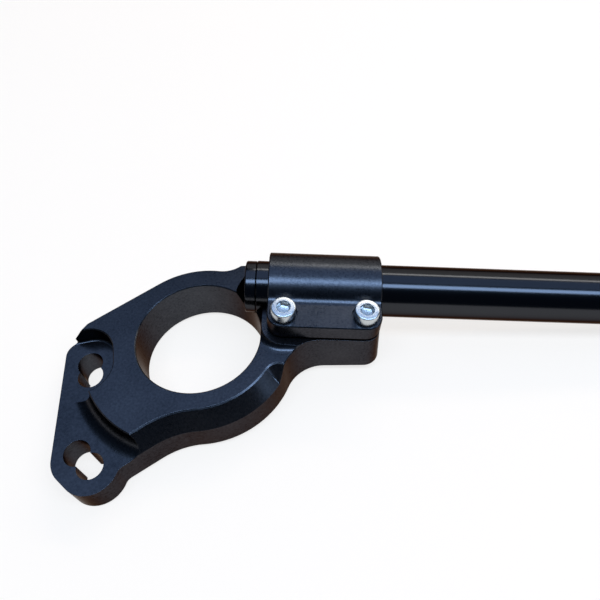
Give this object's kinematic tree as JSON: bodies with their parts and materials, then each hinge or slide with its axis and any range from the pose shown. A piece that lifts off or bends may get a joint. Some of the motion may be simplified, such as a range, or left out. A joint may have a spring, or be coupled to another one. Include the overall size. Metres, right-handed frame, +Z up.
{
  "type": "clip-on handlebar",
  "caption": "Milled bracket with a fork opening and a stepped bolt ear, whose pinch clamp holds a straight drooping handlebar tube with an end plug and socket head screws.",
  "frame": {"origin": "on the axis of the fork opening, at the bracket's bottom face", "axes": "+Z up along the fork, +X out along the bar in plan, +Y to the side of the fork where the bar runs"},
  "size_m": [0.3615, 0.1002, 0.0495],
  "materials": {
    "bracket": "satin black anodised",
    "tube": "glossy black anodised",
    "plug": "satin black anodised",
    "screw": "bright zinc plated"
  },
  "bodies": {
    "root": {"clamp_bracket": "bracket", "handlebar_tube": "tube", "bar_end_plug": "plug", "clamp_screw_inner": "screw", "clamp_screw_outer": "screw"}
  },
  "joints": []
}
